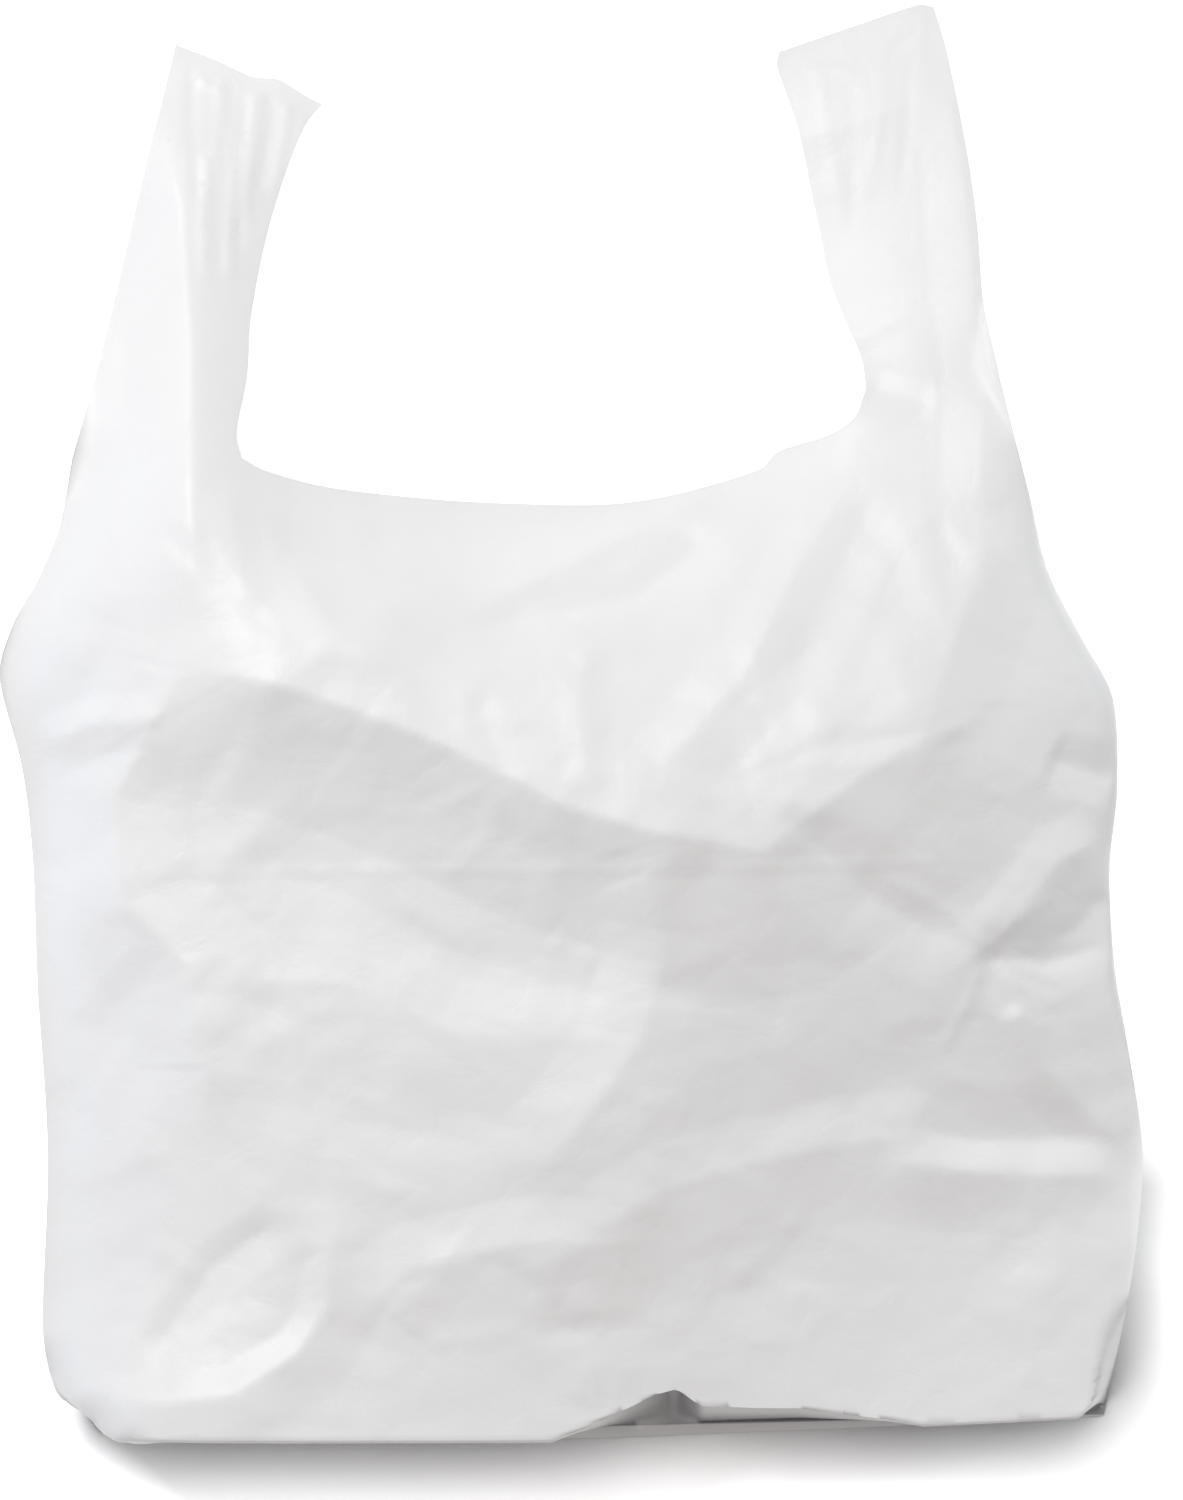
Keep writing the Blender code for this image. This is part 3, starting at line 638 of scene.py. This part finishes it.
def make_bag():
    points, faces = bag_surface(FRONT_STEP, BACK_STEP)
    middle = (points.min(0) + points.max(0)) / 2
    points = points - np.array([middle[0], middle[1], 0])
    mesh = bpy.data.meshes.new("bag_film")
    mesh.from_pydata(points.tolist(), [], faces)
    mesh.validate()
    mesh.polygons.foreach_set("use_smooth", [True] * len(mesh.polygons))
    mesh.set_sharp_from_angle(angle=math.radians(75))
    mesh.materials.append(film_material())
    bag = bpy.data.objects.new("bag_film", mesh)
    bpy.context.scene.collection.objects.link(bag)
    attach(bag, "root")
    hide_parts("bag")
    return middle


def seen_plainly(tree, unseen, seen):
    """The second shader to camera, glossy and transmitted rays, and the first to all others."""
    path = new_node(tree, "LightPath")
    total = path.outputs["Is Camera Ray"]
    for ray in ("Is Glossy Ray", "Is Transmission Ray"):
        total = reckon(tree, "ADD", total, path.outputs[ray], clamp=True)
    pick = new_node(tree, "MixShader", {0: total, 1: unseen, 2: seen})
    return pick.outputs["Shader"]


def floor_material():
    """A pale floor, bright enough to be white to the camera, with the shadow close to the bag partly
    painted: its colour to the camera is darkened by ambient occlusion on top of the lamps' real shadow,
    deepest along its bottom and its lower right side."""
    material = bpy.data.materials.new("floor")
    material.use_nodes = True
    tree = material.node_tree
    plain = tree.nodes["Principled BSDF"]
    plain.inputs["Base Color"].default_value = (0.35, 0.35, 0.35, 1)
    plain.inputs["Roughness"].default_value = 0.9

    where = new_node(tree, "TexCoord").outputs["Object"]
    # Painted shadow: the floor's colour to the camera darkens with ambient occlusion near the bag, only
    # in the corner along its bottom and lower right side.
    near = new_node(tree, "AmbientOcclusion", {"Distance": SHADOW_REACH}, samples=6)
    gone = ramped(tree, near.outputs["AO"], 0.45, 0.97)
    bright = ramped(tree, reckon(tree, "POWER", gone, 1.5), 0, 1, SHADOW_LEVEL, FLOOR_LEVEL)
    corner = reckon(tree, "SUBTRACT", toward(tree, where, (4, -17, 0)), 3.1, clamp=True)
    apart = new_node(tree, "SeparateXYZ", {"Vector": where})
    fainter = ramped(tree, apart.outputs["Y"], -0.21, -0.275, 0.82, 1)
    shade = reckon(tree, "MULTIPLY", corner, fainter)
    level = new_node(tree, "Mix", {"Factor": shade, "A": WHITE_LEVEL, "B": bright})
    neutral = new_node(tree, "VectorMath", {
        0: level.outputs["Result"], 1: FLOOR_TINT,
    }, operation="MULTIPLY")
    lit = new_node(tree, "BsdfDiffuse", {"Color": neutral.outputs["Vector"]})
    both = seen_plainly(tree, plain.outputs["BSDF"], lit.outputs["BSDF"])
    tree.links.new(both, tree.nodes["Material Output"].inputs["Surface"])
    return material


def make_studio():
    mesh = bpy.data.meshes.new("floor")
    mesh.from_pydata([(-4, -4, 0), (4, -4, 0), (4, 4, 0), (-4, 4, 0)], [], [(0, 1, 2, 3)])
    mesh.materials.append(floor_material())
    floor = bpy.data.objects.new("floor", mesh)
    floor.location.z = -0.0002
    bpy.context.scene.collection.objects.link(floor)

    world = bpy.data.worlds.new("studio")
    bpy.context.scene.world = world
    world.use_nodes = True
    tree = world.node_tree
    fill = tree.nodes["Background"]
    fill.inputs["Color"].default_value = FILL_COLOUR
    fill.inputs["Strength"].default_value = FILL
    white = new_node(tree, "Background", {"Color": (1, 1, 1, 1)})
    both = seen_plainly(tree, fill.outputs["Background"], white.outputs["Background"])
    tree.links.new(both, tree.nodes["World Output"].inputs["Surface"])

    for name, place_at, size, power, colour in LAMPS:
        light = bpy.data.lights.new(name, "AREA")
        light.size = size
        light.energy = power
        light.color = colour
        lamp = bpy.data.objects.new(name, light)
        lamp.location = place_at
        aim = Vector((0, 0, 0.04)) - Vector(place_at)
        lamp.rotation_euler = aim.to_track_quat("-Z", "Y").to_euler()
        bpy.context.scene.collection.objects.link(lamp)


def make_camera(middle):
    """Straight above, with a long lens. The photograph is 1183 by 1500 pixels of 0.4 mm."""
    camera = bpy.data.cameras.new("camera")
    camera.sensor_fit = "VERTICAL"
    camera.sensor_height = 36
    camera.lens = 36 * (CAMERA_HEIGHT - 0.015) / 0.600
    camera.clip_end = 50
    seen = bpy.data.objects.new("camera", camera)
    seen.location = (0.0078 - middle[0], 0.276 - middle[1], CAMERA_HEIGHT)
    bpy.context.scene.collection.objects.link(seen)
    bpy.context.scene.camera = seen


# The film's tones, as (share of the cloud noise, colour), and the painted shade of the crevice over the
# bottom seal.
FILM_TONES = [(0.3, (0.855, 0.85, 0.845, 1)), (0.7, (0.885, 0.885, 0.885, 1))]
# Painted shade: the near-black that the crevice is darkened toward, and how far its occlusion reaches.
CREVICE_SHADE_COLOUR = (0.05, 0.045, 0.06, 1)
CREVICE_SHADE_REACH = 0.035
SEAL_NORMAL = (-0.0229, 1, 0)

# The floor as the camera sees it: how far the painted shadow reaches, how dark it gets and how bright
# # the floor is inside the shadow's corner and outside it.
SHADOW_REACH = 0.036
SHADOW_LEVEL = 0.36
FLOOR_LEVEL = 2.6
WHITE_LEVEL = 4
FLOOR_TINT = (0.985, 1, 1.005)

FILL = 0.43
FILL_COLOUR = (1, 0.94, 0.908, 1)
LAMPS = [
    # Each lamp as (name, place, size, power, colour).
    ("key", (-1.2, 1.3, 2.0), 1.1, 39, (0.965, 0.985, 1)),
    ("left", (-2.2, -0.2, 0.7), 1.0, 6, (0.54, 0.72, 1)),
    ("right", (2.2, 0.3, 0.8), 1.0, 11, (0.82, 0.93, 1)),
]
CAMERA_HEIGHT = 6.0

middle = make_bag()
make_studio()
make_camera(middle)
bpy.context.scene.view_settings.view_transform = "Standard"
